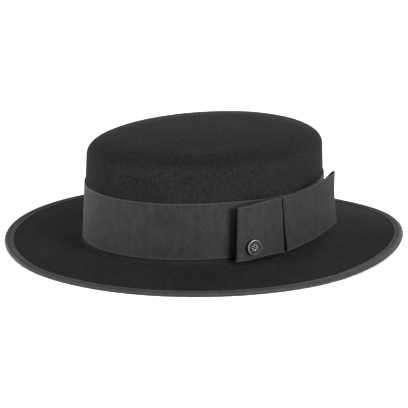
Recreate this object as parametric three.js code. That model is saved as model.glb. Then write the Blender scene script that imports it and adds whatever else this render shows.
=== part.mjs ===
// Boater hat in black felt: a flat crown and a level brim in one piece, a ribbon band with a flat
// bow on the wearer's left, a metal button on the bow and a ribbon binding round the brim.
// Millimetres, +Z up, front of the hat at -Y, wearer's left at +X. The hat lies on the plane z = 0.
import * as THREE from 'three';

// Felt and ribbon
const feltWall = 1.8;
const ribbonWall = 0.6;
const clearance = 0.3;

// Crown: a tapering oval tube with a softly rounded top edge and a nearly flat tip
const crownLength = 206;
const crownWidth = 168;
const crownHeight = 78;
const crownTaper = 3.2;
const crownEdgeReach = 19;
const crownEdgeDrop = 10;
const tipRise = 2;
const tipTilt = 2;
const tipHighAt = 212;
const footRadius = 4;

// Brim
const brimLength = 320.4;
const brimWidth = 300.4;
const brimRise = 2;
const bindingReach = 6.8;

// Band and bow
const ribbonWidth = 42;
const bandFoot = 3.6;
const bowFoot = 3.8;
const bowAngle = 87.9;
const bowCrease = 1.2;
const frontLoopLength = 43;
const frontLoopDepth = 7.6;
const frontLoopLift = -1.8;
const rearLoopLength = 70;
const rearLoopDepth = 9.5;
const rearLoopLift = 4.6;

// Button
const buttonDiameter = 12;
const buttonHeight = 2.6;
const buttonRim = 1.3;
const buttonDish = 0.5;
const buttonAcross = 32;
const buttonUp = 8;

// Facets round the hat, round the button, along a bow loop and in half a turn of a small radius
const turnSteps = 72;
const buttonSteps = 28;
const courseSteps = 39;
const roundSteps = 4;

// Slow waves of the brim's edge: rise in shares of brimRise, at the angle from the front where
// the edge stands highest. What would lie lower than restDrop is pressed level by the surface.
const edgeWaves = [
  { waves: 1, rise: 0.34, highAt: 224 },
  { waves: 2, rise: 1.12, highAt: 118.5 },
  { waves: 3, rise: 0.5, highAt: 23 },
  { waves: 4, rise: 0.3, highAt: 46 },
];
const restDrop = 1.6;

// Courses of the bow's loops seen from above: along in shares of the loop's length from the crease,
// out in shares of its depth from the layer that lies on the band. A course runs from the crease
// along the outer layer, round the open fold and back along the inner layer. The front loop is full
// from the crease on, the rear one lies flat for half its length and then stands off.
const frontCourse = [
  { along: 0.0, out: 0.16 },
  { along: 0.04, out: 0.42 },
  { along: 0.15, out: 0.6 },
  { along: 0.35, out: 0.8 },
  { along: 0.6, out: 0.93 },
  { along: 0.85, out: 1.0 },
  { along: 0.97, out: 0.96 },
  { along: 1.0, out: 0.82 },
  { along: 0.95, out: 0.68 },
  { along: 0.75, out: 0.34 },
  { along: 0.55, out: 0.08 },
  { along: 0.35, out: 0.0 },
  { along: 0.15, out: 0.0 },
  { along: 0.0, out: 0.0 },
];
const rearCourse = [
  { along: 0.0, out: 0.13 },
  { along: 0.03, out: 0.28 },
  { along: 0.2, out: 0.34 },
  { along: 0.4, out: 0.43 },
  { along: 0.6, out: 0.58 },
  { along: 0.8, out: 0.8 },
  { along: 0.95, out: 0.98 },
  { along: 1.0, out: 0.86 },
  { along: 0.96, out: 0.68 },
  { along: 0.8, out: 0.38 },
  { along: 0.6, out: 0.14 },
  { along: 0.4, out: 0.02 },
  { along: 0.2, out: 0.0 },
  { along: 0.0, out: 0.0 },
];

// The two loops: side is the way round from the crease, lift is how much the end rises, flare is
// how much further the lower edge stands out, as a share
const loops = [
  {
    name: 'bow_front_loop', side: -1, length: frontLoopLength, depth: frontLoopDepth,
    lift: frontLoopLift, flare: 0.05, course: frontCourse,
  },
  {
    name: 'bow_rear_loop', side: 1, length: rearLoopLength, depth: rearLoopDepth,
    lift: rearLoopLift, flare: 0, course: rearCourse,
  },
];

const materials = {
  felt: new THREE.MeshStandardMaterial({ color: 0x2b2b2c, roughness: 0.95, metalness: 0 }),
  ribbon: new THREE.MeshStandardMaterial({ color: 0x424244, roughness: 0.8, metalness: 0 }),
  metal: new THREE.MeshStandardMaterial({ color: 0x8d8d90, roughness: 0.4, metalness: 1 }),
};

// Radii of the turned profile, and how far the plan of each ring departs from a circle
const footMean = (crownLength + crownWidth) / 4;
const brimMean = (brimLength + brimWidth) / 4;
const crownOval = (crownLength - crownWidth) / 4;
const brimOval = (brimLength - brimWidth) / 4;
const tipMean = footMean - crownTaper - crownEdgeReach;
const feltEdge = brimMean - ribbonWall - clearance;
const bindingInner = brimMean - bindingReach;

// Heights: the binding's lower skin lies on the surface where the waves are lowest
const edgeMiddle = restDrop + ribbonWall + clearance + feltWall / 2;
const footTop = edgeMiddle + feltWall / 2 + brimRise;
const bandTop = footTop + bandFoot + ribbonWidth;

const radians = THREE.MathUtils.degToRad;
const lerp = THREE.MathUtils.lerp;

// Radius of the crown's outer face at a height above the crown's foot
function sideRadius(height) {
  return footMean - crownTaper * height / crownHeight;
}

// The oval grows from nothing at the crown's centre, is constant on its side and eases to the brim's
function ovalAt(radius) {
  if (radius < tipMean) return crownOval * radius / tipMean;
  const out = (radius - footMean) / (brimMean - footMean);
  return lerp(crownOval, brimOval, Math.max(0, out));
}

// Height of the edge's waves, pressed level where they would go below the surface
function edgeWave(angle) {
  let height = 0;
  for (const { waves, rise, highAt } of edgeWaves) {
    height += rise * brimRise * Math.cos(waves * (angle - radians(highAt)));
  }
  return Math.max(height, -restDrop);
}

// The blocked tip lies a little askew: how far it stands above level at a point of the crown
function tipLift(radius, angle, height) {
  const above = (height - bandTop) / (footTop + crownHeight - bandTop);
  const share = THREE.MathUtils.clamp(above, 0, 1) * Math.min(1, radius / tipMean);
  return share * tipTilt * Math.cos(angle - radians(tipHighAt));
}

// Point of the hat for a radius, an angle from the front towards the wearer's left and a height
function hatPoint(radius, angle, height) {
  const oval = ovalAt(radius);
  const share = THREE.MathUtils.smoothstep(radius, footMean + footRadius, bindingInner);
  return new THREE.Vector3(
    (radius - oval) * Math.sin(angle),
    -(radius + oval) * Math.cos(angle),
    height + share * edgeWave(angle) + tipLift(radius, angle, height),
  );
}

// Points of an arc in the profile, from one angle to another in degrees; with a drop given it is
// an ellipse that goes radius across and drop up
function arc(centreRadius, centreHeight, radius, from, to, steps, drop = radius) {
  const points = [];
  for (let i = 0; i <= steps; i += 1) {
    const angle = radians(lerp(from, to, i / steps));
    points.push(new THREE.Vector2(
      centreRadius + radius * Math.cos(angle),
      centreHeight + drop * Math.sin(angle),
    ));
  }
  return points;
}

// Points of a straight stretch of the profile, without its two ends
function between(start, end, steps) {
  const points = [];
  for (let i = 1; i < steps; i += 1) points.push(start.clone().lerp(end, i / steps));
  return points;
}

// A profile turned round the hat's axis and then shaped to the hat's oval and waves
function turned(profile) {
  const geometry = new THREE.LatheGeometry(profile, turnSteps);
  const position = geometry.attributes.position;
  for (let i = 0; i < position.count; i += 1) {
    const across = position.getX(i);
    const ahead = position.getZ(i);
    const point = hatPoint(Math.hypot(across, ahead), Math.atan2(across, ahead), position.getY(i));
    position.setXYZ(i, point.x, point.y, point.z);
  }
  geometry.computeVertexNormals();
  return geometry;
}

// One face of the blocked felt from the middle of the tip to the edge of the brim; inset is 0 for
// the outer face and the wall for the inner one
function feltFace(inset) {
  const foot = footRadius + inset;
  const top = footTop + crownHeight - inset;
  const sideTop = sideRadius(crownHeight - crownEdgeDrop) - inset;
  const sideFoot = sideRadius(footRadius) - inset;
  const reach = sideTop - tipMean;
  const drop = crownEdgeDrop - inset;
  const tip = [];
  for (const share of [0, 0.4, 0.75]) {
    tip.push(new THREE.Vector2(tipMean * share, top + tipRise * (1 - share * share)));
  }
  const edgeTurn = arc(tipMean, top - drop, reach, 90, 0, roundSteps + 2, drop);
  const footTurn = arc(sideFoot + foot, footTop - inset + foot, foot, 180, 270, roundSteps - 1);
  const side = between(edgeTurn[edgeTurn.length - 1], footTurn[0], 2);
  const brimStart = footTurn[footTurn.length - 1];
  const brimEnd = new THREE.Vector2(bindingInner, footTop - brimRise - inset);
  return [...tip, ...edgeTurn, ...side, ...footTurn, ...between(brimStart, brimEnd, 4), brimEnd];
}

function feltBody() {
  const half = feltWall / 2;
  const edge = arc(feltEdge - half, edgeMiddle, half, 90, -90, roundSteps);
  const profile = [...feltFace(0), ...edge, ...feltFace(feltWall).reverse()];
  return turned(profile.reverse());
}

function hatBand() {
  const low = bandFoot;
  const high = bandFoot + ribbonWidth;
  const inner = (height) => new THREE.Vector2(sideRadius(height) + clearance, footTop + height);
  const outer = (height) => inner(height).add(new THREE.Vector2(ribbonWall, 0));
  const middle = (low + high) / 2;
  const ring = [outer(low), outer(middle), outer(high), inner(high), inner(middle), inner(low)];
  return turned([...ring, ring[0]]);
}

// The binding folds round the felt edge: an outer skin and an inner skin joined at two open ends
function brimBinding() {
  const skin = (half, radius) => {
    const below = new THREE.Vector2(bindingInner, edgeMiddle - half);
    const above = new THREE.Vector2(bindingInner, edgeMiddle + half);
    return [below, ...arc(radius - half, edgeMiddle, half, -90, 90, roundSteps), above];
  };
  const innerHalf = feltWall / 2 + clearance;
  const outer = skin(innerHalf + ribbonWall, brimMean);
  const inner = skin(innerHalf, brimMean - ribbonWall);
  return turned([...outer, ...inner.reverse(), outer[0]]);
}

// Angle reached after going a length round the outside of the band from the bow's crease
function angleAfter(length) {
  const radius = sideRadius(bandFoot + ribbonWidth / 2) + clearance + ribbonWall;
  const steps = Math.ceil(Math.abs(length)) + 1;
  let angle = radians(bowAngle);
  for (let i = 0; i < steps; i += 1) {
    const oval = ovalAt(radius);
    const pace = Math.hypot((radius - oval) * Math.cos(angle), (radius + oval) * Math.sin(angle));
    angle += length / steps / pace;
  }
  return angle;
}

// Point beside the band: a length round from the crease, a distance off the band and a height
function bowPoint(length, off, height) {
  const angle = angleAfter(length);
  const radius = sideRadius(height) + clearance + ribbonWall + off;
  return new THREE.Vector3(
    (radius - crownOval) * Math.sin(angle),
    -(radius + crownOval) * Math.cos(angle),
    footTop + height,
  );
}

// The ribbon's course in millimetres from the crease and off the band
function coursePoint(row, loop) {
  const start = bowCrease / 2;
  return new THREE.Vector2(
    start + row.along * (loop.length - start),
    clearance + ribbonWall / 2 + row.out * loop.depth,
  );
}

function loopSpline(loop) {
  return new THREE.SplineCurve(loop.course.map((row) => coursePoint(row, loop)));
}

// Point of a loop: a length from the crease, a distance off the band and a height up the ribbon
function loopPoint(loop, length, off, up) {
  const flare = 1 + loop.flare * (1 - up / ribbonWidth);
  const height = bowFoot + up + loop.lift * length / loop.length;
  return bowPoint(loop.side * length, off * flare, height);
}

// Turns every face over, for a shape that is laid out the other way round
function turnFacesOver(geometry) {
  const index = geometry.index;
  for (let i = 0; i < index.count; i += 3) {
    const second = index.getX(i + 1);
    index.setX(i + 1, index.getX(i + 2));
    index.setX(i + 2, second);
  }
}

// A flat strip of ribbon bent along the loop's course and round the band
function bowLoop(loop) {
  const course = loopSpline(loop);
  const geometry = new THREE.BoxGeometry(1, ribbonWall, ribbonWidth, courseSteps, 1, 2);
  if (loop.side > 0) turnFacesOver(geometry);
  const position = geometry.attributes.position;
  for (let i = 0; i < position.count; i += 1) {
    const share = THREE.MathUtils.clamp(position.getX(i) + 0.5, 0, 1);
    const up = position.getZ(i) + ribbonWidth / 2;
    const tangent = course.getTangent(share);
    const normal = new THREE.Vector2(-tangent.y, tangent.x);
    const plan = course.getPoint(share).addScaledVector(normal, position.getY(i));
    const point = loopPoint(loop, plan.x, plan.y, up);
    position.setXYZ(i, point.x, point.y, point.z);
  }
  geometry.computeVertexNormals();
  return geometry;
}

// Distance off the band of the outer layer's face, a length from the crease
function outerFace(loop, length) {
  const points = loopSpline(loop).getPoints(10 * courseSteps);
  const next = points.findIndex((point) => point.x > length);
  const share = (length - points[next - 1].x) / (points[next].x - points[next - 1].x);
  return lerp(points[next - 1].y, points[next].y, share) + ribbonWall / 2;
}

// A turned button: a flat back, a rounded raised rim and a dished face
function buttonShape() {
  const radius = buttonDiameter / 2;
  const crest = buttonRim / 2;
  const rim = arc(radius - crest, buttonHeight - crest, crest, 0, 180, roundSteps);
  const dish = buttonHeight - buttonDish;
  const profile = [
    new THREE.Vector2(0, 0),
    new THREE.Vector2(radius - crest, 0),
    new THREE.Vector2(radius, crest),
    ...rim,
    new THREE.Vector2(radius - buttonRim - crest, dish),
    new THREE.Vector2(0, dish),
  ];
  const geometry = new THREE.LatheGeometry(profile, buttonSteps);
  return geometry.rotateX(Math.PI / 2);
}

// The button sits flat on the outer layer of the loop, square to the ribbon there
function placeButton(mesh, loop) {
  const reach = buttonDiameter / 4;
  const face = (length, up) => loopPoint(loop, length, outerFace(loop, length), up);
  const centre = face(buttonAcross, buttonUp);
  const across = face(buttonAcross - reach, buttonUp).sub(face(buttonAcross + reach, buttonUp));
  const up = face(buttonAcross, buttonUp + reach).sub(centre);
  const out = across.cross(up).normalize();
  mesh.quaternion.setFromUnitVectors(new THREE.Vector3(0, 0, 1), out);
  mesh.position.copy(centre).addScaledVector(out, clearance);
}

function named(name, geometry, material) {
  const mesh = new THREE.Mesh(geometry, material);
  mesh.name = name;
  return mesh;
}

const hat = new THREE.Group();
hat.add(named('felt_body', feltBody(), materials.felt));
hat.add(named('hat_band', hatBand(), materials.ribbon));
hat.add(named('brim_binding', brimBinding(), materials.ribbon));
for (const loop of loops) hat.add(named(loop.name, bowLoop(loop), materials.ribbon));
const button = named('button', buttonShape(), materials.metal);
placeButton(button, loops[0]);
hat.add(button);

export default hat;
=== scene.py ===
# %% [markdown]
# # A boater hat in black felt
# The imported model gives the frame: where each part of the hat lies, in metres, with +Z up, the
# front at -Y and the wearer's left at +X. Everything below is built in that frame, so a piece goes
# where the model says and nothing is fitted by eye afterwards.

# %% Frame
import math
import bpy
import numpy as np
from mathutils import Matrix, Vector


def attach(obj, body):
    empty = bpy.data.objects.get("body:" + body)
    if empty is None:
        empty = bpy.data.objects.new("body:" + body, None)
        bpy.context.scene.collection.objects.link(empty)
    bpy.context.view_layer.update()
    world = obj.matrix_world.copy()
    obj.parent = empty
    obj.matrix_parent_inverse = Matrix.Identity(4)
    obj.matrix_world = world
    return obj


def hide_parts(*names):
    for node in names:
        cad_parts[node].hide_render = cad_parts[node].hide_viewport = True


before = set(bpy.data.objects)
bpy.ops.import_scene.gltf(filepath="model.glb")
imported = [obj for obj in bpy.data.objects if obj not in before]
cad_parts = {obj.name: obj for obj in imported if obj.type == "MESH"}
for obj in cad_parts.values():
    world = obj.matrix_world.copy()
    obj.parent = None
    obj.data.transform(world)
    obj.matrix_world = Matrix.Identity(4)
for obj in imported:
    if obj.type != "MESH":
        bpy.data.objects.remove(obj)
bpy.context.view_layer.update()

print("nodes:", sorted(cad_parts))

# %% [markdown]
# The camera looks down at the hat from the front and the wearer's left. A product picture is taken
# with a long lens from far away, so that the near edge of the brim isn't drawn larger than the far
# one. The lens and the distance belong together: the picture is 408 pixels wide, the film 36 mm.

# %% Camera
TURN, TILT, ROLL = math.radians(45.0), math.radians(14.7228), math.radians(0.4192)
DISTANCE = 1.5157
PIXELS_PER_METRE = 1275.7
PICTURE_WIDTH, FILM_WIDTH = 408, 36
AIM_RIGHT, AIM_UP = -0.00109, 0.02694

toward = Vector((math.sin(TURN) * math.cos(TILT), -math.cos(TURN) * math.cos(TILT), math.sin(TILT)))
level = Vector((math.cos(TURN), math.sin(TURN), 0))
upward = toward.cross(level)
right = level * math.cos(ROLL) + upward * math.sin(ROLL)
above = upward * math.cos(ROLL) - level * math.sin(ROLL)
place = level * AIM_RIGHT + upward * AIM_UP + toward * DISTANCE
lens = bpy.data.cameras.new("long_lens")
lens.sensor_width = FILM_WIDTH
lens.lens = PIXELS_PER_METRE * DISTANCE * FILM_WIDTH / PICTURE_WIDTH
lens.clip_end = 50
camera = bpy.data.objects.new("camera", lens)
camera.matrix_world = Matrix((
    (right.x, above.x, toward.x, place.x), (right.y, above.y, toward.y, place.y),
    (right.z, above.z, toward.z, place.z), (0, 0, 0, 1)))
bpy.context.scene.collection.objects.link(camera)
bpy.context.scene.camera = camera
print(f"lens {lens.lens:.1f} mm at {DISTANCE:.2f} m")

# %% [markdown]
# ## Sizes
# A felt hat is steamed over a block, so its shape is a rule: a round profile, drawn out to an oval.
# Nearly the same sizes as in the solid model drive everything here, and a few follow the picture
# more closely. Radii are means of the two half axes of an oval, and an oval's departure, such as
# crown_oval, is half their difference. The flat top of a crown is called its tip.

# %% Sizes in metres
felt_wall = 0.0018
ribbon_wall = 0.0005
ribbon_gap = 0.0003
foot_mean, brim_mean = 0.0935, 0.1552
crown_oval, brim_oval = 0.0095, 0.0050
crown_height, crown_taper = 0.0778, 0.0032
edge_reach, edge_drop, edge_fullness = 0.035, 0.0125, 3.0
tip_mean = foot_mean - crown_taper - edge_reach
tip_rise, tip_tilt, tip_high_at = 0.003, 0.0020, 212
foot_radius = 0.004
rest_drop = 0.0016
binding_reach = 0.0068
binding_gap = 0.00020
binding_inner = brim_mean - binding_reach
binding_wall = 0.00062
binding_half = felt_wall / 2 + binding_gap + binding_wall
edge_middle = rest_drop + binding_half
foot_top = 0.0063
ribbon_width, band_foot = 0.0422, 0.0035
bow_width = 0.0410
band_top = foot_top + band_foot + ribbon_width
crown_top = foot_top + crown_height
# Slow waves of the brim: how many go round, the rise in metres, the angle where each is highest
edge_waves = [(1, 0.00068, 224.0), (2, 0.00224, 118.5), (3, 0.001, 23.0), (4, 0.0006, 46.0)]


def side_radius(height):
    """Mean radius of the crown's outer face at a height above its foot"""
    return foot_mean - crown_taper * height / crown_height


print(f"crown top at {crown_top * 1000:.1f} mm, binding {2 * binding_half * 1000:.2f} mm thick")

# %% [markdown]
# ## Two small helpers
# One adds a node with its settings and fills its inputs in order, with a number, a vector, another
# node or one of its outputs. The other turns a colour as read off a screen into the linear values
# that light is worked out in.

# %% Helpers for nodes and colours
def add(tree, kind, *values, into=None, **settings):
    node = tree.nodes.new(kind)
    for name, value in settings.items():
        setattr(node, name, value)
    filled = {i: v for i, v in enumerate(values) if v is not None}
    filled.update(into or {})
    for key, value in filled.items():
        if isinstance(value, bpy.types.Node):
            value = value.outputs[0]
        if isinstance(value, bpy.types.NodeSocket):
            tree.links.new(value, node.inputs[key])
        else:
            node.inputs[key].default_value = value
    return node


def linear(code):
    parts = [(code >> shift & 255) / 255 for shift in (16, 8, 0)]
    return (*[p / 12.92 if p <= 0.04045 else ((p + 0.055) / 1.055) ** 2.4 for p in parts], 1)


print("white is", linear(0xffffff))

# %% [markdown]
# ## Finishes
# Hat felt is fur or wool pressed until the fibres lock. It has no weave: the eye gets a matt, very
# dark grey with a soft bloom where the surface turns away, because the loose fibre ends catch the
# light there. The colour could be one value with a rough shader, but felt is never that even, so
# the dye is a little cloudy over some 20 mm, mottled over 2 mm, and two heights of grain lift it.
# Real fibres are about 0.03 mm thick. Here the grain is 1.1 mm, as coarse as it needs to show.

# %% Black wool felt
def start_material(name):
    material = bpy.data.materials.new(name)
    material.use_nodes = True
    tree = material.node_tree
    tree.nodes.clear()
    return material, tree


cloud_size, mottle_size, grain_size = 0.020, 0.0022, 0.0011
felt, tree = start_material("wool_felt_black")
where = add(tree, "ShaderNodeTexCoord").outputs["Object"]
cloud = add(tree, "ShaderNodeTexNoise",
            into={"Vector": where, "Scale": 1 / cloud_size, "Detail": 3.0})
mottle = add(tree, "ShaderNodeTexNoise",
             into={"Vector": where, "Scale": 1 / mottle_size, "Detail": 2.0})
grain = add(tree, "ShaderNodeTexNoise",
            into={"Vector": where, "Scale": 1 / grain_size, "Detail": 3.0, "Roughness": 0.65})
tone = add(tree, "ShaderNodeMath", mottle, 0.7, operation="MULTIPLY")
tone = add(tree, "ShaderNodeMath", cloud, 0.3, tone, operation="MULTIPLY_ADD")
tone = add(tree, "ShaderNodeMath", grain, 1.1, tone, operation="MULTIPLY_ADD")
tone = add(tree, "ShaderNodeMapRange", tone, 0.7, 1.4, 0.0, 1.0)
colour = add(tree, "ShaderNodeMix",
             into={0: tone, 6: linear(0x0c0c0c), 7: linear(0x202020)}, data_type="RGBA")
fine = add(tree, "ShaderNodeBump",
           into={"Strength": 0.55, "Distance": 0.00018, "Height": grain})
coarse = add(tree, "ShaderNodeBump",
             into={"Strength": 0.6, "Distance": 0.0004, "Height": mottle, "Normal": fine})
shader = add(tree, "ShaderNodeBsdfPrincipled", into={
    "Base Color": colour.outputs[2], "Roughness": 0.9, "IOR": 1.5, "Normal": coarse,
    "Specular IOR Level": 0.02, "Sheen Weight": 0.052, "Sheen Roughness": 0.2,
    "Sheen Tint": linear(0xdedede)})
add(tree, "ShaderNodeOutputMaterial", shader)
print(felt.name, len(tree.nodes), "nodes")

# %% [markdown]
# The band, the bow and the binding are grosgrain: a ribbon with thick weft cords across it and
# fine silky warp threads over them. The ribs themselves are in the mesh. What is left for the
# shader is the shine of the warp, its fine grain, the cords' uneven tension, which shows as faint
# streaks across the ribbon, and the closer, lighter selvedge along both edges. All of it follows
# the ribbon's own map, which holds metres along it and across it.

# %% Grosgrain ribbon
def grosgrain(name, dark, light, selvedge, width, sheen=0.03, sheen_roughness=0.4):
    material, tree = start_material(name)
    flat = add(tree, "ShaderNodeUVMap", uv_map="ribbon")
    across = add(tree, "ShaderNodeSeparateXYZ", flat).outputs["Y"]
    # Streaks: about 5 mm along the ribbon and 12 mm across it
    stretch = add(tree, "ShaderNodeMapping",
                  into={"Vector": flat, "Scale": (1 / 0.005, 1 / 0.012, 1)})
    streak = add(tree, "ShaderNodeTexNoise", into={"Vector": stretch, "Scale": 1.0, "Detail": 3.0})
    # Warp threads: 0.25 mm apart on the real ribbon, drawn at 0.5 mm so that they show
    threads = add(tree, "ShaderNodeMapping",
                  into={"Vector": flat, "Scale": (1 / 0.0022, 1 / 0.0005, 1)})
    warp = add(tree, "ShaderNodeTexNoise", into={"Vector": threads, "Scale": 1.0, "Detail": 2.0})
    # Nap: the worn silk is mottled over some 1.4 mm
    nap = add(tree, "ShaderNodeTexNoise", into={"Vector": flat, "Scale": 1 / 0.0014, "Detail": 2.0})
    tone = add(tree, "ShaderNodeMath", warp, 0.3, operation="MULTIPLY")
    tone = add(tree, "ShaderNodeMath", streak, 0.5, tone, operation="MULTIPLY_ADD")
    tone = add(tree, "ShaderNodeMath", nap, 0.7, tone, operation="MULTIPLY_ADD")
    tone = add(tree, "ShaderNodeMapRange", tone, 0.5, 1.0, 0.0, 1.0)
    colour = add(tree, "ShaderNodeMix",
                 into={0: tone, 6: linear(dark), 7: linear(light)}, data_type="RGBA")
    # Selvedge: within 1 mm of either edge
    middle = add(tree, "ShaderNodeMath", across, width / 2, operation="SUBTRACT")
    middle = add(tree, "ShaderNodeMath", middle, operation="ABSOLUTE")
    edge = add(tree, "ShaderNodeMapRange", middle, width / 2 - 0.0011, width / 2 - 0.0006, 0.0, 1.0)
    colour = add(tree, "ShaderNodeMix",
                 into={0: edge, 6: colour.outputs[2], 7: linear(selvedge)}, data_type="RGBA")
    bump = add(tree, "ShaderNodeBump",
               into={"Strength": 0.35, "Distance": 0.0001, "Height": warp})
    shader = add(tree, "ShaderNodeBsdfPrincipled", into={
        "Base Color": colour.outputs[2], "Roughness": 0.62, "IOR": 1.5, "Normal": bump,
        "Specular IOR Level": 0.12, "Sheen Weight": sheen, "Sheen Roughness": sheen_roughness,
        "Sheen Tint": linear(0xe5e5e5)})
    add(tree, "ShaderNodeOutputMaterial", shader)
    print(material.name, len(tree.nodes), "nodes")
    return material


band_ribbon = grosgrain("grosgrain_charcoal", 0x0f0f0f, 0x262626, 0x292929, ribbon_width)
# The bow is the band's ribbon; this copy of it is painted a shade darker, as painted shade
bow_ribbon_painted_darker = grosgrain("grosgrain_bow_painted_shade", 0x0e0e0e, 0x242424, 0x282828, bow_width)

# %% [markdown]
# The sewing thread is a matt black cotton. The button is pewter, a grey tin alloy, cast and then
# darkened with acid and rubbed, so the hollows stay nearly black and the raised parts are bright.
# The mesh carries how raised each point is, which is steadier than asking the renderer for corners.
# It also carries a painted highlight: one side of the rim is painted brighter.

# %% Thread and pewter
thread, tree = start_material("cotton_thread_black")
where = add(tree, "ShaderNodeTexCoord").outputs["Object"]
twist = add(tree, "ShaderNodeTexNoise", into={"Vector": where, "Scale": 1 / 0.0004, "Detail": 1.0})
colour = add(tree, "ShaderNodeMix",
             into={0: twist, 6: linear(0x151515), 7: linear(0x3a3a3a)}, data_type="RGBA")
bump = add(tree, "ShaderNodeBump", into={"Strength": 0.5, "Distance": 0.00005, "Height": twist})
shader = add(tree, "ShaderNodeBsdfPrincipled",
             into={"Base Color": colour.outputs[2], "Roughness": 0.8, "Normal": bump})
add(tree, "ShaderNodeOutputMaterial", shader)

pewter, tree = start_material("antique_pewter")
# The raised attribute holds the relief and a painted highlight on one side of the button's rim
raised = add(tree, "ShaderNodeAttribute", attribute_name="raised").outputs["Fac"]
where = add(tree, "ShaderNodeTexCoord").outputs["Object"]
spots = add(tree, "ShaderNodeTexNoise", into={"Vector": where, "Scale": 1 / 0.0006, "Detail": 3.0})
wear_and_highlight = add(tree, "ShaderNodeMath", spots, 0.5, operation="SUBTRACT")
wear_and_highlight = add(tree, "ShaderNodeMath", wear_and_highlight, 0.7, raised, operation="MULTIPLY_ADD")
wear_and_highlight = add(tree, "ShaderNodeMapRange", wear_and_highlight, 0.15, 0.7, 0.0, 1.0)
colour = add(tree, "ShaderNodeMix",
             into={0: wear_and_highlight, 6: linear(0x272727), 7: linear(0x828282)}, data_type="RGBA")
dull = add(tree, "ShaderNodeMapRange", wear_and_highlight, 0.0, 1.0, 0.6, 0.42)
bump = add(tree, "ShaderNodeBump", into={"Strength": 0.3, "Distance": 0.00005, "Height": spots})
shader = add(tree, "ShaderNodeBsdfPrincipled", into={
    "Base Color": colour.outputs[2], "Metallic": 1.0, "Roughness": dull, "Normal": bump})
add(tree, "ShaderNodeOutputMaterial", shader)
print(thread.name, "and", pewter.name)

# %% [markdown]
# ## Meshes from rows
# Every cloth piece of the hat is a set of rows swept along a path: a profile turned round the axis,
# or a ribbon's section carried along its folds. One function takes such a grid of points and closes
# it, round the path, round the section, at a pole or with a cap. It checks the sign of the enclosed
# volume and turns the faces over if they point inwards.

# %% Grid to mesh
def facing_out(points, faces, corners):
    """Faces and the map's corners, turned over if the enclosed volume has the wrong sign"""
    volume = 0
    for triangles in ([face[:3] for face in faces], [[face[0], face[2], face[-1]] for face in faces]):
        a, b, c = points[np.array(triangles)].transpose(1, 0, 2)
        volume += (np.cross(a, b) * c).sum()
    if volume > 0:
        return faces, corners
    start, reversed_corners = 0, []
    for face in faces:
        reversed_corners += corners[start:start + len(face)][::-1]
        start += len(face)
    return [face[::-1] for face in faces], reversed_corners


def swept(name, grid, flat, round_path=True, round_section=True, poles=False):
    """grid[i, j] is point j of the section at step i of the path; flat is its place on the cloth"""
    steps, rows = grid.shape[:2]
    number = np.arange(steps * rows).reshape(steps, rows)
    flats = flat.reshape(-1, 2)
    faces, corners = [], []
    last_step = steps if round_path else steps - 1
    last_row = rows if round_section else rows - 1
    # A pole is one point for all steps
    if poles:
        number[:, 0] = 0
        number[:, -1] = rows - 1
    # Where the path closes, the map runs on past the last step
    run = flat[-1, 0, 0] + (flat[-1, 0, 0] - flat[-2, 0, 0])
    for i in range(last_step):
        for j in range(last_row):
            k, m = (i + 1) % steps, (j + 1) % rows
            face, places = [], []
            for a, b in ((i, j), (k, j), (k, m), (i, m)):
                if number[a, b] in face:
                    continue
                u, v = flats[a * rows + b]
                face.append(number[a, b])
                places.append((run if a == 0 and i == steps - 1 and a == k else u, v))
            faces.append(face)
            corners.extend(places)
    # Caps at both ends of an open path
    if not round_path:
        for i, order in ((0, 1), (steps - 1, -1)):
            faces.append([int(n) for n in number[i][::order]])
            corners.extend(flats[i * rows + j] for j in range(rows)[::order])
    points = grid.reshape(-1, 3)
    used = np.unique(np.concatenate([np.array(f) for f in faces]))
    renumber = np.zeros(len(points), int)
    renumber[used] = np.arange(len(used))
    faces = [[int(renumber[n]) for n in face] for face in faces]
    points = points[used]
    faces, corners = facing_out(points, faces, corners)
    mesh = bpy.data.meshes.new(name)
    mesh.from_pydata(points.tolist(), [], faces)
    mesh.uv_layers.new(name="ribbon")
    mesh.uv_layers["ribbon"].uv.foreach_set("vector", np.array(corners, np.float32).ravel())
    place = mesh.attributes.new("cloth_place", "FLOAT_VECTOR", "POINT")
    spots = np.c_[flats[used], np.zeros(len(used))].astype(np.float32)
    place.data.foreach_set("vector", spots.ravel())
    mesh.shade_smooth()
    mesh.validate()
    piece = bpy.data.objects.new(name, mesh)
    bpy.context.scene.collection.objects.link(piece)
    return piece


print("a grid of points can be made a closed mesh")

# %% [markdown]
# Most of the hat is turned, so its grid comes from a profile of radii and heights. Geometry Nodes
# shape the piece afterwards, and what they give is then made the piece's own mesh, because the
# model is handed on as plain meshes without modifiers.

# %% Turned pieces
def turned(name, profile, steps, closed=True, cloth=None):
    """A profile of (radius, height) rows turned round the upright axis, from the front to the left;
    cloth is each row's place across the ribbon"""
    profile = np.asarray(profile, float)
    angle = np.arange(steps) * 2 * np.pi / steps
    radius, height = profile[:, 0], profile[:, 1]
    grid = np.stack([np.outer(np.sin(angle), radius), -np.outer(np.cos(angle), radius),
                     np.broadcast_to(height, (steps, len(profile)))], -1)
    if cloth is None:
        cloth = np.r_[0, np.cumsum(np.hypot(*np.diff(profile, axis=0).T))]
    flat = np.stack(np.meshgrid(angle * radius.max(), cloth, indexing="ij"), -1)
    return swept(name, grid, flat, True, closed, not closed)


def settle(piece):
    """Turns the result of the piece's modifiers into its plain mesh"""
    graph = bpy.context.evaluated_depsgraph_get()
    solid = bpy.data.meshes.new_from_object(
        piece.evaluated_get(graph), preserve_all_data_layers=True, depsgraph=graph)
    piece.modifiers.clear()
    piece.data = solid
    solid.name = piece.name
    print(piece.name, sum(len(face.vertices) - 2 for face in solid.polygons), "triangles")
    return piece


print("a profile can be turned, and a shaped piece settled into its mesh")

# %% [markdown]
# ## From a turned shape to the hat
# The hat's plan is an oval, its brim waves a little where it was carried by the hand, and its tip
# stands a little askew. That could be worked into every mesh by hand, once for the felt, again for
# the ribbon and again for each stitch. As one Geometry Nodes tree it is written once, and all of
# them go through it, so what is sewn together stays together. For each point it works out the
# radius and the angle, draws the plan out to the oval and lifts the point with the waves.

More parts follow.
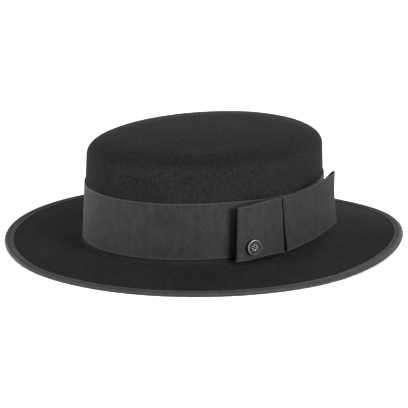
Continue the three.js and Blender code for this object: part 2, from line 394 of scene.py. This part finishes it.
# %% Helpers for trees
def start_tree(name, sizes):
    """A tree with a geometry and a finish, and one named input for each size"""
    tree = bpy.data.node_groups.new(name, "GeometryNodeTree")
    tree.interface.new_socket(name="Geometry", in_out="OUTPUT", socket_type="NodeSocketGeometry")
    tree.interface.new_socket(name="Geometry", in_out="INPUT", socket_type="NodeSocketGeometry")
    tree.interface.new_socket(name="Finish", in_out="INPUT", socket_type="NodeSocketMaterial")
    for size, value in sizes.items():
        kind = "NodeSocketInt" if isinstance(value, int) else "NodeSocketFloat"
        socket = tree.interface.new_socket(name=size, in_out="INPUT", socket_type=kind)
        socket.default_value = value
    return tree, tree.nodes.new("NodeGroupInput").outputs


def end_tree(tree, given, geometry):
    """Makes the instances real, sets the finish and hands the mesh out"""
    real = add(tree, "GeometryNodeRealizeInstances", geometry)
    done = add(tree, "GeometryNodeSetMaterial",
               into={"Geometry": real, "Material": given["Finish"]})
    add(tree, "NodeGroupOutput", done)


def shape_with(piece, tree, finish, **sizes):
    """Puts the tree on the piece; inputs are set by their sockets' identifiers"""
    named = {s.name: s.identifier for s in tree.interface.items_tree if s.in_out == "INPUT"}
    step = piece.modifiers.new(tree.name, "NODES")
    step.node_group = tree
    step[named["Finish"]] = finish
    for size, value in sizes.items():
        step[named[size.replace("_", " ")]] = value


print("trees can be started, ended and put on a piece")

# %% [markdown]
# Now the tree itself. Its first nodes find the radius and the angle of a point and draw the plan
# out. The slow waves follow, which reach their full height at the brim's edge and go no lower than
# what the hat lies on. The last ones tilt the tip and leave it a little uneven by hand.

# %% Tree: hat from round
sizes = {
    "foot mean": foot_mean, "tip mean": tip_mean, "brim mean": brim_mean, "crown oval": crown_oval,
    "brim oval": brim_oval, "wave from": foot_mean + foot_radius, "wave to": binding_inner,
    "rest drop": rest_drop, "tip tilt": tip_tilt, "tip high at": math.radians(tip_high_at),
    "tilt from": band_top, "tilt to": crown_top, "hand": 0.0005}
for count, rise, high_at in edge_waves:
    sizes[f"wave {count} rise"] = rise
    sizes[f"wave {count} high at"] = math.radians(high_at)
hat_tree, given = start_tree("hat_from_round", sizes)
t = hat_tree
spot = add(t, "GeometryNodeInputPosition")
part = add(t, "ShaderNodeSeparateXYZ", spot).outputs
plan = add(t, "ShaderNodeVectorMath", spot, (1, 1, 0), operation="MULTIPLY")
radius = add(t, "ShaderNodeVectorMath", plan, operation="LENGTH").outputs["Value"]
ahead = add(t, "ShaderNodeMath", part["Y"], -1.0, operation="MULTIPLY")
angle = add(t, "ShaderNodeMath", part["X"], ahead, operation="ARCTAN2")
tip_part = add(t, "ShaderNodeMapRange", radius, 0.0, given["tip mean"], 0.0, given["crown oval"])
brim_part = add(t, "ShaderNodeMapRange", radius, given["foot mean"], given["brim mean"],
                given["crown oval"], given["brim oval"])
oval = add(t, "ShaderNodeMath", tip_part, brim_part, operation="MINIMUM")
pull = add(t, "ShaderNodeMath", oval, radius, operation="DIVIDE")
across = add(t, "ShaderNodeMath", part["X"], pull, operation="MULTIPLY")
across = add(t, "ShaderNodeMath", part["X"], across, operation="SUBTRACT")
along = add(t, "ShaderNodeMath", part["Y"], pull, part["Y"], operation="MULTIPLY_ADD")
wave = 0.0
for count, rise, high_at in edge_waves:
    turn = add(t, "ShaderNodeMath", angle, given[f"wave {count} high at"], operation="SUBTRACT")
    turn = add(t, "ShaderNodeMath", turn, float(count), operation="MULTIPLY")
    swing = add(t, "ShaderNodeMath", turn, operation="COSINE")
    wave = add(t, "ShaderNodeMath", swing, given[f"wave {count} rise"], wave,
               operation="MULTIPLY_ADD")
lowest = add(t, "ShaderNodeMath", given["rest drop"], -1.0, operation="MULTIPLY")
wave = add(t, "ShaderNodeMath", wave, lowest, operation="MAXIMUM")
share = add(t, "ShaderNodeMapRange", radius, given["wave from"], given["wave to"], 0.0, 1.0,
            interpolation_type="SMOOTHSTEP")
height = add(t, "ShaderNodeMath", wave, share, part["Z"], operation="MULTIPLY_ADD")
turn = add(t, "ShaderNodeMath", angle, given["tip high at"], operation="SUBTRACT")
turn = add(t, "ShaderNodeMath", turn, operation="COSINE")
up_share = add(t, "ShaderNodeMapRange", part["Z"], given["tilt from"], given["tilt to"], 0.0, 1.0)
out_share = add(t, "ShaderNodeMapRange", radius, 0.0, given["tip mean"], 0.0, 1.0)
tilt = add(t, "ShaderNodeMath", turn, up_share, operation="MULTIPLY")
tilt = add(t, "ShaderNodeMath", tilt, out_share, operation="MULTIPLY")
height = add(t, "ShaderNodeMath", tilt, given["tip tilt"], height, operation="MULTIPLY_ADD")
# The hand that blocked the crown left it a little uneven, over some 50 mm, above the band only
uneven = add(t, "ShaderNodeTexNoise", into={"Vector": spot, "Scale": 1 / 0.05, "Detail": 1.0})
uneven = add(t, "ShaderNodeVectorMath", uneven.outputs["Color"], (0.5, 0.5, 0.5),
             operation="SUBTRACT")
by_hand = add(t, "ShaderNodeMath", up_share, given["hand"], operation="MULTIPLY")
uneven = add(t, "ShaderNodeVectorMath", uneven, into={"Scale": by_hand}, operation="SCALE")
shaped = add(t, "ShaderNodeCombineXYZ", across, along, height)
shaped = add(t, "ShaderNodeVectorMath", shaped, uneven, operation="ADD")
end_tree(t, given, add(t, "GeometryNodeSetPosition",
                       into={"Geometry": given["Geometry"], "Position": shaped}))
print(hat_tree.name, len(t.nodes), "nodes")

# %% [markdown]
# Grosgrain's ribs run across the ribbon, a cord about every millimetre. They could be a bump in
# the material, but from the side the ribbon's edge would stay smooth. As they repeat along the
# ribbon's own length, a second tree moves each point along its normal with a cosine of that length.
# The ribs fade out into the firm selvedge at both edges.

# %% Tree: grosgrain ribs
rib_pitch, rib_depth = 0.001, 0.00005
ribs_tree, given = start_tree("grosgrain_ribs", {
    "pitch": rib_pitch, "depth": rib_depth, "width": ribbon_width, "selvedge": 0.0009})
t = ribs_tree
cloth = add(t, "GeometryNodeInputNamedAttribute", "cloth_place", data_type="FLOAT_VECTOR")
part = add(t, "ShaderNodeSeparateXYZ", cloth).outputs
turns = add(t, "ShaderNodeMath", part["X"], given["pitch"], operation="DIVIDE")
turns = add(t, "ShaderNodeMath", turns, math.tau, operation="MULTIPLY")
rib = add(t, "ShaderNodeMath", turns, operation="COSINE")
half = add(t, "ShaderNodeMath", given["width"], 0.5, operation="MULTIPLY")
off = add(t, "ShaderNodeMath", part["Y"], half, operation="SUBTRACT")
off = add(t, "ShaderNodeMath", off, operation="ABSOLUTE")
room = add(t, "ShaderNodeMath", half, off, operation="SUBTRACT")
body = add(t, "ShaderNodeMapRange", room, 0.0, given["selvedge"], 0.0, given["depth"])
lift = add(t, "ShaderNodeMath", rib, body, operation="MULTIPLY")
normal = add(t, "GeometryNodeInputNormal")
move = add(t, "ShaderNodeVectorMath", normal, into={"Scale": lift}, operation="SCALE")
end_tree(t, given, add(t, "GeometryNodeSetPosition",
                       into={"Geometry": given["Geometry"], "Offset": move}))
print(ribs_tree.name, len(t.nodes), "nodes")

# %% [markdown]
# ## The felt body
# Crown and brim are one piece of felt. Its profile runs from the middle of the tip over the rounded
# top edge, down the side, round the foot and out along the brim, then back on the inside at one
# wall's distance. A solidified sheet would do as well, but with the profile the cut edge of the
# brim can be rounded and the wall stays even in the tight foot.

# %% Felt
def arc(across, up, reach, start, end, steps):
    """Points on an arc round (across, up), both ends included"""
    angle = np.radians(np.linspace(start, end, steps + 1))
    return np.c_[across + reach * np.cos(angle), up + reach * np.sin(angle)]


def straight(start, end, steps):
    """Points between two ends, both left out"""
    return np.linspace(start, end, steps + 1)[1:-1]


def felt_face(inset):
    """Profile of one face of the felt, from the tip to the brim; the inner one is inset by the wall"""
    foot, top = foot_radius + inset, crown_top - inset
    side_top = side_radius(crown_height - edge_drop) - inset
    side_foot = side_radius(foot_radius) - inset
    share = np.sqrt(np.linspace(0, 1, 13)[:-1])
    tip = np.c_[tip_mean * share, np.full(len(share), top)]
    # The rounded edge is a quarter of an oval, a fuller one than an ellipse
    edge = arc(0, 0, 1, 90, 0, 32) ** (2 / edge_fullness)
    edge = edge * (side_top - tip_mean, edge_drop) + (tip_mean, top - edge_drop)
    dome = np.vstack([tip, edge])
    dome[:, 1] += tip_rise * (1 - (dome[:, 0] / side_top) ** 2)
    base = arc(side_foot + foot, foot_top - inset + foot, foot, 180, 270, 10)
    brim_end = np.array([binding_inner, edge_middle + felt_wall / 2 - inset])
    return np.vstack([dome, straight(dome[-1], base[0], 16), base,
                      straight(base[-1], brim_end, 24), brim_end])


half = felt_wall / 2
felt_edge = brim_mean - binding_wall - binding_gap
profile = np.vstack([felt_face(0), arc(felt_edge - half, edge_middle, half, 90, -90, 8),
                     felt_face(felt_wall)[::-1]])
steps_round = 288
felt_body = turned("felt_body_soft", profile, steps_round, closed=False)
shape_with(felt_body, hat_tree, felt)
settle(felt_body)

# %% [markdown]
# ## The band
# A band of grosgrain is drawn tight round the crown's foot. Its section is a thin strip with
# rounded edges and a slightly thicker selvedge, which is what draws the fine light line along the
# top and the bottom. Its steps round the hat are four to a rib, in whole ribs. The bow pulls the
# band down by a good millimetre, which fades out ahead of it and behind it.

# %% Ribbon section and band
def ribbon_section(width, wall, rows):
    """Closed section of a ribbon, as (off, up): out over the outer face, back over the inner one"""
    bead = 0.00012
    selvedge = [0.0003, 0.0007, 0.0011, 0.0015]
    plain = list(np.linspace(0.003, width - 0.003, rows))
    up = np.array(selvedge + plain + [width - u for u in selvedge[::-1]])
    swell = np.interp(np.minimum(up, width - up), [0, *selvedge],
                      [0, bead * 0.7, bead, bead * 0.3, 0])
    outer = np.c_[wall / 2 + swell, up]
    over = np.array([[wall * 0.3, width], [-wall * 0.3, width]])
    under = np.array([[-wall * 0.3, 0], [wall * 0.3, 0]])
    inner = np.array([[-wall / 2, width - 0.0004], [-wall / 2, width / 2], [-wall / 2, 0.0004]])
    return np.vstack([outer, over, inner, under])


section = ribbon_section(ribbon_width, ribbon_wall, 5)
high = band_foot + section[:, 1]
profile = np.c_[side_radius(high) + ribbon_gap + ribbon_wall / 2 + section[:, 0], foot_top + high]
around = math.tau * profile[:, 0].max()
ribs = round(around / rib_pitch)
band = turned("hat_band_grosgrain", profile, 4 * ribs, cloth=section[:, 1])
bow_angle, band_dip = math.radians(87.9), 0.0013
dip_ahead, dip_behind = math.radians(32), math.radians(75)
for vertex in band.data.vertices:
    away = math.atan2(vertex.co.x, -vertex.co.y) - bow_angle
    away = abs(away) / (dip_ahead if away < 0 else dip_behind)
    vertex.co.z -= band_dip * (1 + math.cos(math.pi * min(away, 1))) / 2
shape_with(band, ribs_tree, band_ribbon, pitch=around / ribs)
shape_with(band, hat_tree, band_ribbon)
settle(band)

# %% [markdown]
# ## The binding
# The raw edge of the brim is bound: a narrow grosgrain ribbon is steamed, folded over the edge and
# sewn through both sides a little in from its inner edges. The thread pulls the ribbon down to the
# felt there, so the section is full at the fold, pinched at the sewing line and lifts again at the
# selvedge. A plain tube round the edge would miss that second line. Nearly a metre of ribbon goes
# round, so its ribs are drawn 1.5 mm apart to keep the mesh light.

# %% Binding
inner_half = felt_wall / 2 + binding_gap
sewn_at, full_at = 0.0014, 0.0038
touching = 0.00003
binding_pitch = 0.0015
# The upper face: how far in from the ribbon's inner edge, and how high over the felt
reach = np.array([0, 0.0004, 0.0009, sewn_at, 0.0019, 0.0026, full_at])
lift = np.array([0.00028, 0.00036, 0.00038, 0.00034, 0.00056, 0.00080, 0.00090])
face = np.c_[binding_inner + reach, felt_wall / 2 + lift]
outer_reach = brim_mean - inner_half - binding_wall
fold = arc(outer_reach, 0, inner_half + binding_wall, 66, -66, 7)
over = arc(outer_reach, 0, inner_half + binding_wall, 90, 80, 1)[:1]
outer = np.vstack([face, over, fold, over * (1, -1), face[::-1] * (1, -1)])
fold = arc(outer_reach, 0, inner_half, 90, -90, 4)
lip = np.array([(binding_inner, felt_wall / 2 + touching),
                (binding_inner + sewn_at, felt_wall / 2 + touching),
                (binding_inner + full_at, inner_half)])
inner = np.vstack([lip, fold, lip[::-1] * (1, -1)])[::-1]
profile = np.vstack([outer, inner]) + (0, edge_middle)
along_outer = np.r_[0, np.cumsum(np.hypot(*np.diff(outer, axis=0).T))]
along_inner = np.r_[0, np.cumsum(np.hypot(*np.diff(inner, axis=0).T))]
binding_width = along_outer[-1]
cloth = np.r_[along_outer, binding_width * (1 - along_inner / along_inner[-1])]
around = math.tau * brim_mean
ribs = round(around / binding_pitch)
edge_ribbon = grosgrain("grosgrain_binding", 0x1c1c1c, 0x303030, 0x303030, binding_width,
                        sheen=0.10, sheen_roughness=0.2)
binding = turned("brim_binding_grosgrain", profile, 4 * ribs, cloth=cloth)
shape_with(binding, ribs_tree, edge_ribbon, pitch=around / ribs, width=float(binding_width))
shape_with(binding, hat_tree, edge_ribbon)
settle(binding)
print(f"{ribs} ribs, ribbon {binding_width * 1000:.1f} mm wide")

# %% [markdown]
# The sewing is a lockstitch, so it looks the same above and below: short dashes of thread, each
# sunk at both ends. Hundreds of equal dashes are work for instances. The tree below takes a ring,
# sets one stitch on each of its points, turned along the ring, makes them real and lets the hat's
# rule carry them on to the brim. Each stitch is a coarse pod, as it is only a quarter of a
# millimetre thick.

# %% Tree: stitches round the brim
stitch_tree, given = start_tree("lockstitches", {
    "count": 375, "radius": binding_inner + sewn_at, "height": 0.0, "length": 0.0019,
    "thickness": 0.00028})
t = stitch_tree
ring = add(t, "GeometryNodeMeshCircle",
           into={"Vertices": given["count"], "Radius": given["radius"]})
ring = add(t, "GeometryNodeMeshToCurve", ring)
points = add(t, "GeometryNodeCurveToPoints", ring, into={"Count": given["count"]})
pod = add(t, "GeometryNodeMeshUVSphere", into={"Segments": 6, "Rings": 5, "Radius": 0.5})
pod = add(t, "GeometryNodeSetShadeSmooth", pod)
size = add(t, "ShaderNodeCombineXYZ", given["thickness"], given["thickness"], given["length"])
dashes = add(t, "GeometryNodeInstanceOnPoints", points.outputs["Points"],
             into={"Instance": pod, "Rotation": points.outputs["Rotation"], "Scale": size})
level_up = add(t, "ShaderNodeCombineXYZ", 0.0, 0.0, given["height"])
end_tree(t, given, add(t, "GeometryNodeSetPosition", dashes, into={"Offset": level_up}))


def stitches(name, height):
    seed = bpy.data.objects.new(name, bpy.data.meshes.new(name))
    bpy.context.scene.collection.objects.link(seed)
    shape_with(seed, stitch_tree, thread, height=float(height))
    shape_with(seed, hat_tree, thread)
    return settle(seed)


thread_lift = 0.00036
off_middle = felt_wall / 2 + thread_lift
stitches_above = stitches("binding_stitches_above", edge_middle + off_middle)
stitches_below = stitches("binding_stitches_below", edge_middle - off_middle)

# %% [markdown]
# ## The bow
# The bow is two flat loops of the band's ribbon, one to each side of a pinched crease on the
# wearer's left. Seen from above each loop is a course: out from the crease on the outer layer,
# round an open fold and back against the band. The table below holds that course as shares of the
# loop's length and depth, a smooth curve joins its rows, and the ribbon's section is carried along
# it. Cloth simulation could fold the ribbon too, but pressed grosgrain keeps the fold it was given.

# %% Courses of the loops
# Each row: share of the loop's length from the crease, share of its depth off the band
front_course = np.array([
    (0.0, 0.02), (0.006, 0.26), (0.03, 0.46), (0.14, 0.62), (0.35, 0.8), (0.6, 0.93), (0.85, 0.99),
    (0.97, 1.0), (1.0, 0.93), (0.975, 0.84), (0.9, 0.66), (0.75, 0.36), (0.55, 0.1), (0.35, 0.0),
    (0.15, 0.0), (0.0, 0.0)])
rear_course = np.array([
    (0.0, 0.02), (0.004, 0.2), (0.02, 0.29), (0.2, 0.34), (0.4, 0.43), (0.6, 0.58), (0.8, 0.8),
    (0.93, 0.96), (0.985, 1.0), (1.0, 0.88), (0.98, 0.74), (0.93, 0.6), (0.8, 0.38), (0.6, 0.16),
    (0.4, 0.04), (0.2, 0.0), (0.0, 0.0)])


def through(rows, count):
    """Smooth curve through the rows, as evenly spaced points and their directions"""
    ends = np.vstack([rows[:1], rows, rows[-1:]])
    share = np.linspace(0, 1, 40, endpoint=False)[:, None]
    curve = []
    for a, b, c, d in zip(ends, ends[1:], ends[2:], ends[3:]):
        bend = (2 * a - 5 * b + 4 * c - d) * share ** 2 + (3 * b - 3 * c + d - a) * share ** 3
        curve.append(b + ((c - a) * share + bend) / 2)
    curve = np.vstack(curve + [rows[-1:]])
    length = np.r_[0, np.cumsum(np.hypot(*np.diff(curve, axis=0).T))]
    at = np.linspace(0, length[-1], count)
    points = np.c_[np.interp(at, length, curve[:, 0]), np.interp(at, length, curve[:, 1])]
    heading = np.gradient(points, axis=0)
    return points, heading / np.hypot(*heading.T)[:, None], at


print(len(front_course), "rows for the front loop and", len(rear_course), "for the rear one")

# %% [markdown]
# The bow follows the crown, so lengths along it are measured round the outside of the band, from
# the crease. The functions below find a point of the bow from its length, its distance off the
# band and its place across the ribbon. What a loop does of its own is in its table: how its lower
# edge rises or arches, how its end leans and how its depth changes from top to bottom.

# %% Place of a point of the bow
# Outer face of the band with its selvedge, as a distance from its inner face
band_face = 0.0006
# The crease's lean, how far the loops part at its foot, and how much the ribbon spreads there
crease_lean, crease_parting, crease_spread = 0.075, 0.0011, 0.035
curl_from = 0.78


def angles_after(lengths):
    """Angles reached after going these lengths round the outside of the band from the crease"""
    radius = side_radius(band_foot + ribbon_width / 2) + ribbon_gap + band_face
    table = np.linspace(-1.2, 1.2, 4801) + bow_angle
    pace = np.hypot((radius - crown_oval) * np.cos(table), (radius + crown_oval) * np.sin(table))
    run = np.r_[0, np.cumsum((pace[1:] + pace[:-1]) / 2 * np.diff(table))]
    run -= np.interp(bow_angle, table, run)
    return np.interp(lengths, run, table)


def by_the_band(length, off, height):
    """Point a length round from the crease, a distance off the band and a height above its foot"""
    angle = angles_after(length)
    radius = side_radius(height) + ribbon_gap + band_face + off
    return np.stack([(radius - crown_oval) * np.sin(angle), -(radius + crown_oval) * np.cos(angle),
                     foot_top + height], -1)


def heights(loop, length, inner):
    """How high the ribbon's lower edge lies along the outer layer and along the inner one"""
    share = np.clip(length / loop["reach"], 0, 1)
    curl = np.clip((share - curl_from) / (1 - curl_from), 0, 1)
    outer = loop["foot"] + loop["rise"] * share + loop["arch"] * 4 * share * (1 - share)
    outer = outer + loop["curl"] * curl * curl * (3 - 2 * curl)
    end = loop["foot"] + loop["rise"] + loop["curl"]
    back = loop["back_foot"] + (end - loop["back_foot"]) * share ** 4
    return np.where(inner, back, outer)


def on_loop(loop, length, off, up, inner=False):
    """Point of a loop a length from the crease, a distance off the band and up the ribbon"""
    share = np.clip(length / loop["reach"], 0, 1)
    high = up / bow_width
    waist = loop["waist"] * np.sin(np.clip(high, 0, 1) * np.pi)
    flared = off * (1 + loop["flare"] * (1 - high) - waist)
    lean = (crease_lean + (loop["lean"] - crease_lean) * share) * (bow_width / 2 - up)
    parted = length + crease_parting * (1 - high) * (1 - share)
    spread = up * (1 + crease_spread * (1 - share) ** 2)
    return by_the_band(loop["side"] * parted + lean, flared, heights(loop, length, inner) + spread)


# Side -1 is forwards; foot, rise, arch and curl give the height of the lower edge
front_loop = {
    "course": front_course, "side": -1, "reach": 0.0429, "depth": 0.0076,
    "foot": 0.0018, "rise": -0.0013, "arch": 0.0025, "curl": 0.0015, "back_foot": 0.0018,
    "flare": 0.05, "waist": 0.0, "lean": -0.03}
rear_loop = {
    "course": rear_course, "side": 1, "reach": 0.070, "depth": 0.0095,
    "foot": 0.0018, "rise": 0.0074, "arch": 0.0, "curl": 0.0, "back_foot": 0.0018,
    "flare": 0.0, "waist": 0.09, "lean": 0.075}
print("loops reach", front_loop["reach"], "and", rear_loop["reach"], "m from the crease")

# %% [markdown]
# With the course and the place of every point at hand, a loop is the ribbon's section carried
# along its course, in whole ribs. The layer that comes back against the band is told apart,
# because its lower edge stays low until near the open fold.

# %% Loops
bow_crease, first_layer = 0.0011, 0.0006


def course_of(loop, count):
    """The loop's course in metres, as points, directions and lengths"""
    start = bow_crease / 2
    rows = np.c_[start + loop["course"][:, 0] * (loop["reach"] - start),
                 first_layer + loop["course"][:, 1] * loop["depth"]]
    return through(rows, count)


def bow_loop(name, loop):
    length = course_of(loop, 400)[2][-1]
    ribs = round(length / rib_pitch)
    points, heading, at = course_of(loop, 4 * ribs + 1)
    section = ribbon_section(bow_width, ribbon_wall, 7)
    outward = np.c_[-heading[:, 1], heading[:, 0]]
    plan = points[:, None, :] + outward[:, None, :] * section[None, :, 0, None]
    up = np.broadcast_to(section[:, 1], plan.shape[:2])
    inner = np.broadcast_to((np.arange(len(at)) > points[:, 0].argmax())[:, None], up.shape)
    grid = on_loop(loop, plan[..., 0], plan[..., 1], up, inner)
    flat = np.stack([np.broadcast_to(at[:, None], up.shape), up], -1)
    piece = swept(name, grid, flat, round_path=False)
    shape_with(piece, ribs_tree, bow_ribbon_painted_darker, pitch=float(length / ribs), width=bow_width)
    return settle(piece), length


loop_front, front_length = bow_loop("bow_front_loop_grosgrain", front_loop)
loop_rear, rear_length = bow_loop("bow_rear_loop_grosgrain", rear_loop)
print(f"ribbon in the loops: {front_length * 1000:.0f} mm and {rear_length * 1000:.0f} mm")

# %% [markdown]
# ## The button
# A cast pewter button of 12 mm sits low on the front loop. Cast relief is a height over the face,
# so the face is a grid of rings and spokes, each point lifted by what is there: the rolled rim, a
# ring of small beads and a plain eight-petalled rosette. The height also goes into the mesh as the
# value that the pewter's finish reads. A painted highlight is added to that value: the rim is
# painted brighter on one side and the rosette on the other.

# %% Button
button_radius, button_height = 0.006, 0.0026
relief, crown_fall, edge_fall = 0.00055, 0.0002, 0.0002
# The third value is the side where the rim's painted highlight is brightest
rim_at, edge_from, highlight_side = 0.92, 0.95, math.radians(210)
bead_count, petal_count = 24, 8
rings = np.r_[np.linspace(0, rim_at, 34), edge_from, 0.98, 1.0]
spokes = 144
ring, spoke = np.meshgrid(rings, np.arange(spokes) * math.tau / spokes)


def hump(value, middle, half):
    """1 at the middle, falling to 0 at half a width away"""
    return np.clip(1 - ((value - middle) / half) ** 2, 0, 1)


rim = hump(ring, rim_at, 0.09) ** 0.5
beads = hump(ring, 0.72, 0.055) * np.clip(np.cos(spoke * bead_count) * 0.8 + 0.5, 0, 1)
petal = hump(ring, 0.33, 0.22) * np.clip(np.cos(spoke * petal_count) * 0.9 + 0.45, 0, 1)
centre = hump(ring, 0.0, 0.11)
raised = np.maximum.reduce([rim, 0.75 * beads, 0.8 * petal, 0.9 * centre])
face_height = button_height - relief + relief * raised - crown_fall * ring ** 2
outside = ring > edge_from
face_height[outside] -= edge_fall * (ring[outside] - edge_from) / (1 - edge_from)
# The side and the back: share of the radius, height over the seat
side = np.array([(1.0, 0.0015), (0.985, 0.0007), (0.9, 0.0002), (0.8, 0.0), (0.0, 0.0)])
across = np.c_[ring, np.broadcast_to(side[:, 0], (spokes, len(side)))] * button_radius
height = np.c_[face_height, np.broadcast_to(side[:, 1], (spokes, len(side)))]
turn = np.broadcast_to(spoke[:, :1], across.shape)
grid = np.stack([across * np.sin(turn), -across * np.cos(turn), height], -1)
flat = np.stack([turn * button_radius, across], -1)
button = swept("button_pewter", grid, flat, True, False, poles=True)
relief_and_highlight = button.data.attributes.new("raised", "FLOAT", "POINT")
x, y, z = np.array([v.co for v in button.data.vertices]).T
# Painted highlight: the rim is painted brighter towards one side, the rosette towards the other
towards_highlight = np.cos(np.arctan2(x, -y) - highlight_side)
on_rim = np.hypot(x, y) > 0.84 * button_radius
painted_highlight = np.where(on_rim, 0.75 + 0.6 * towards_highlight, 0.95 - 0.2 * towards_highlight)
up_share = np.clip((z - button_height + relief) / relief, 0, 1)
relief_and_highlight.data.foreach_set("value", (up_share * np.clip(painted_highlight, 0.35, 1.3)).astype(np.float32))
button.data.materials.append(pewter)
print(len(rings), "rings and", spokes, "spokes")

# %% [markdown]
# The button is seated where the front loop's outer face is. Three points of that face, the seat,
# one to the side and one above it, give the directions that the button is turned to.

# %% Seat of the button
def outer_face(loop, length):
    """How far off the band the loop's outer face is, at a length from the crease"""
    points = course_of(loop, 800)[0]
    turn = points[:, 0].argmax()
    return np.interp(length, points[:turn, 0], points[:turn, 1]) + ribbon_wall / 2 + rib_depth


def face_point(length, up):
    return Vector(on_loop(front_loop, length, outer_face(front_loop, length), up))


button_across, button_up = 0.0309, 0.0092
quarter, shank_gap = button_radius / 2, 0.0002
seat = face_point(button_across, button_up)
sideways = face_point(button_across - quarter, button_up)
sideways -= face_point(button_across + quarter, button_up)
upwards = face_point(button_across, button_up + quarter) - seat
out = sideways.cross(upwards).normalized()
upwards = out.cross(sideways).normalized()
sideways = upwards.cross(out)
seat += out * shank_gap
button.data.transform(Matrix((
    (sideways.x, upwards.x, out.x, seat.x), (sideways.y, upwards.y, out.y, seat.y),
    (sideways.z, upwards.z, out.z, seat.z), (0, 0, 0, 1))))
button.data.update()
print("button at", [round(v, 4) for v in seat])

# %% [markdown]
# ## Floor and light
# The hat lies on plain white paper in a pale surround. Four soft boxes stand low round it, so they
# light the crown's side and the ribbons more than the level brim: two strong ones to the right and
# the left of the camera, and two weaker ones behind, which pick out the far edge. A fifth from
# above reaches the tip. The paper glows faintly, because a catalogue picture's ground is white
# right up to the hat, and the dark hat is then judged by its own tones.

# %% Floor, lamps and surround
paper, tree = start_material("studio_paper_white")
where = add(tree, "ShaderNodeTexCoord").outputs["Object"]
soft = add(tree, "ShaderNodeTexNoise", into={"Vector": where, "Scale": 3.0})
colour = add(tree, "ShaderNodeMix",
             into={0: soft, 6: linear(0xf4f4f4), 7: linear(0xf8f8f8)}, data_type="RGBA")
shader = add(tree, "ShaderNodeBsdfPrincipled",
             into={"Base Color": colour.outputs[2], "Roughness": 0.9, "Specular IOR Level": 0.0,
                   "Emission Color": (1, 1, 1, 1), "Emission Strength": 0.4})
add(tree, "ShaderNodeOutputMaterial", shader)
bpy.ops.mesh.primitive_circle_add(vertices=96, radius=8, fill_type="NGON")
floor = bpy.context.object
floor.name = "studio_floor"
floor.data.materials.append(paper)

world = bpy.data.worlds.new("pale_surround")
bpy.context.scene.world = world
world.use_nodes = True
world.node_tree.nodes["Background"].inputs["Color"].default_value = (1, 1, 1, 1)
world.node_tree.nodes["Background"].inputs["Strength"].default_value = 0.22
crown_middle = 0.04


def lamp(name, size, power, azimuth, elevation, distance):
    """A square soft box that looks at the hat; azimuth is from the front to the wearer's left"""
    light = bpy.data.lights.new(name, "AREA")
    light.size, light.energy = size, power
    piece = bpy.data.objects.new(name, light)
    a, e = math.radians(azimuth), math.radians(elevation)
    spot = Vector((math.sin(a) * math.cos(e), -math.cos(a) * math.cos(e), math.sin(e))) * distance
    piece.location = spot + Vector((0, 0, crown_middle))
    piece.rotation_euler = (-spot).to_track_quat("-Z", "Y").to_euler()
    bpy.context.scene.collection.objects.link(piece)


# Name, side in metres, watts, azimuth, elevation, distance in metres
lamp("right_softbox", 0.9, 80, 92, 13, 2.2)
lamp("left_softbox", 1.1, 74, -22, 13, 2.2)
lamp("back_softbox", 1.4, 42, 198, 12, 2.6)
lamp("left_back_softbox", 1.2, 36, -88, 12, 2.4)
lamp("top_softbox", 1.2, 40, 92, 60, 2.2)
bpy.context.scene.view_settings.view_transform = "Standard"
print(len(bpy.data.lights), "lamps")

# %% [markdown]
# ## Into the frame
# Each soft piece stands for the solid of the model that it dresses and rides on the hat's one body.

# %% Rides on the hat's body
dressed = [
    (felt_body, "felt_body", "felt"), (band, "hat_band", "ribbon"),
    (binding, "brim_binding", "ribbon"), (loop_front, "bow_front_loop", "ribbon"),
    (loop_rear, "bow_rear_loop", "ribbon"), (button, "button", "metal")]
for piece, node, slot in dressed:
    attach(piece, "root")
    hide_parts(node)
for piece in (stitches_above, stitches_below):
    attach(piece, "root")
print(len(dressed), "pieces stand for solids of the model")
